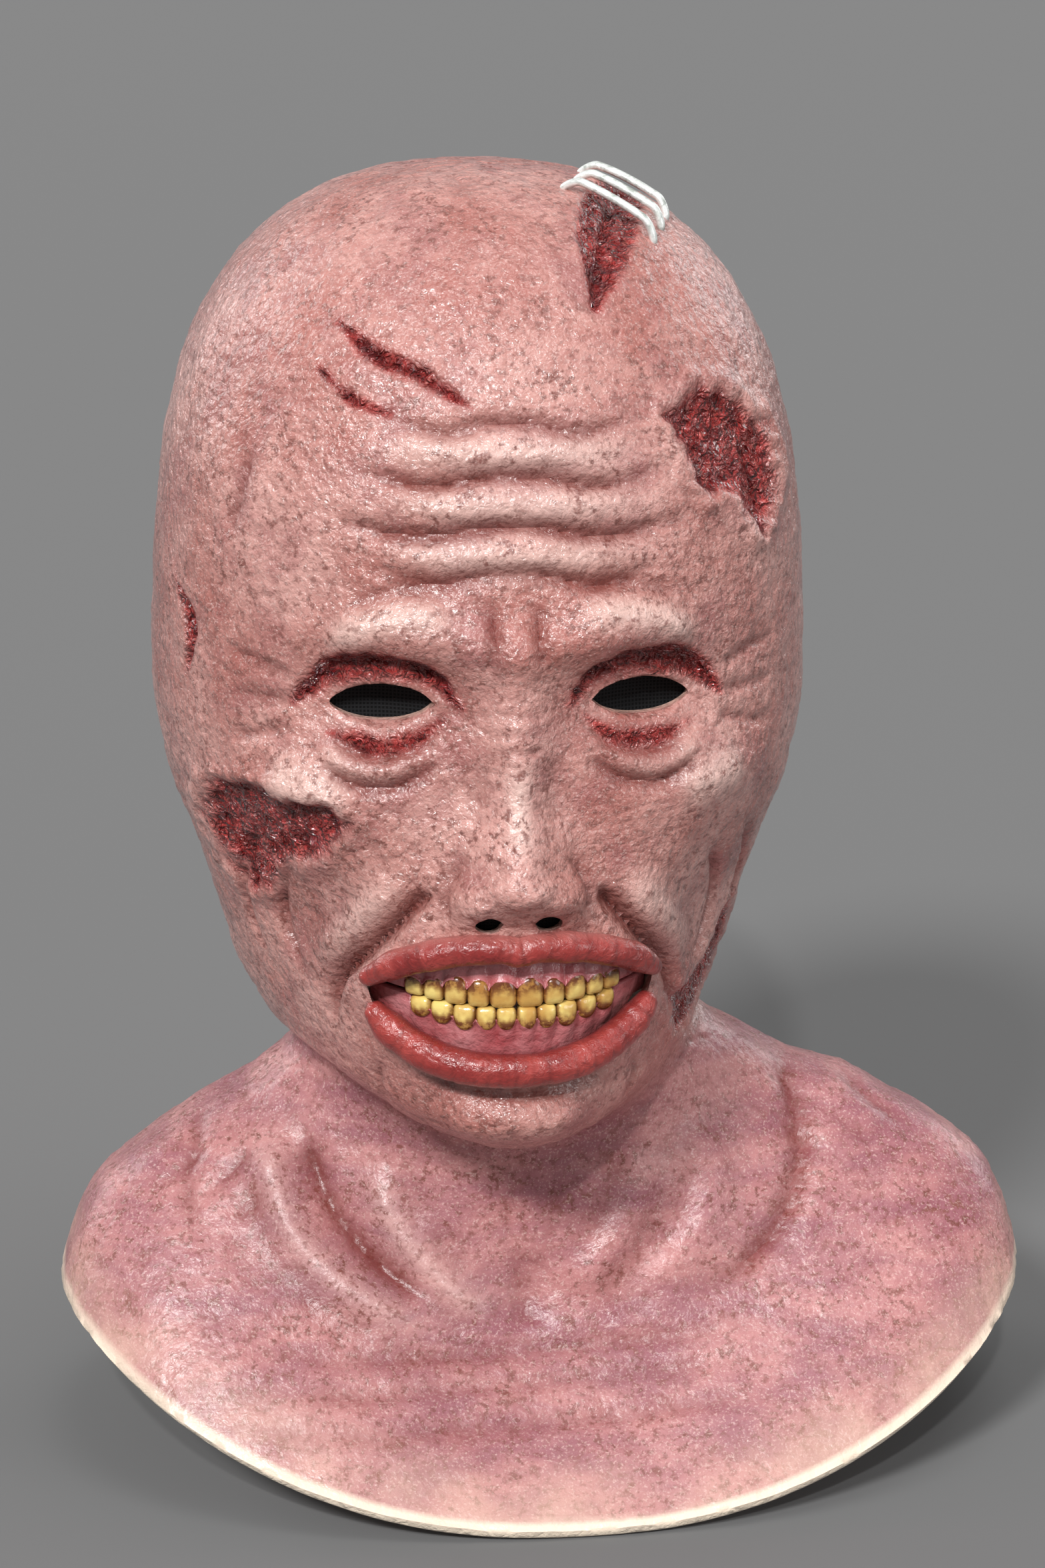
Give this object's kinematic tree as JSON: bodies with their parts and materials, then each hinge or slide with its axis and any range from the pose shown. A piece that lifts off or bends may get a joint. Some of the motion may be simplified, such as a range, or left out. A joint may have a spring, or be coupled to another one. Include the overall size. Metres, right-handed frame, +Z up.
{
  "type": "latex halloween mask",
  "caption": "Full-head latex halloween ghoul mask with mottled pink skin, red lips over gums and yellowed teeth, three scalp staples and a wide neck bib with a raw cut hem.",
  "frame": {"origin": "top of the inside of the crown, where the wearer's head carries the mask", "axes": "+Z up out of the crown, the face looks along -Y, +X is the wearer's left"},
  "size_m": [0.302, 0.2376, 0.3943],
  "materials": {
    "skin_latex": "painted latex skin, satin with glossy raw patches",
    "lip_latex": "glossy red painted latex",
    "gum_latex": "glossy pink painted latex",
    "tooth_resin": "yellowed, brown stained at the gum",
    "silver_wire": "silver white, worn",
    "black_gauze": "matt black open weave"
  },
  "bodies": {
    "root": {"eye_gauze_left": "black_gauze", "eye_gauze_right": "black_gauze", "latex_skin": "skin_latex", "lower_gum": "gum_latex", "lower_lip": "lip_latex", "nostril_gauze": "black_gauze", "scalp_staple_front": "silver_wire", "scalp_staple_middle": "silver_wire", "scalp_staple_rear": "silver_wire", "tooth_lower_left_1": "tooth_resin", "tooth_lower_left_2": "tooth_resin", "tooth_lower_left_3": "tooth_resin", "tooth_lower_left_4": "tooth_resin", "tooth_lower_left_5": "tooth_resin", "tooth_lower_right_1": "tooth_resin", "tooth_lower_right_2": "tooth_resin", "tooth_lower_right_3": "tooth_resin", "tooth_lower_right_4": "tooth_resin", "tooth_lower_right_5": "tooth_resin", "tooth_upper_left_1": "tooth_resin", "tooth_upper_left_2": "tooth_resin", "tooth_upper_left_3": "tooth_resin", "tooth_upper_left_4": "tooth_resin", "tooth_upper_left_5": "tooth_resin", "tooth_upper_right_1": "tooth_resin", "tooth_upper_right_2": "tooth_resin", "tooth_upper_right_3": "tooth_resin", "tooth_upper_right_4": "tooth_resin", "tooth_upper_right_5": "tooth_resin", "upper_gum": "gum_latex", "upper_lip": "lip_latex"}
  },
  "joints": []
}
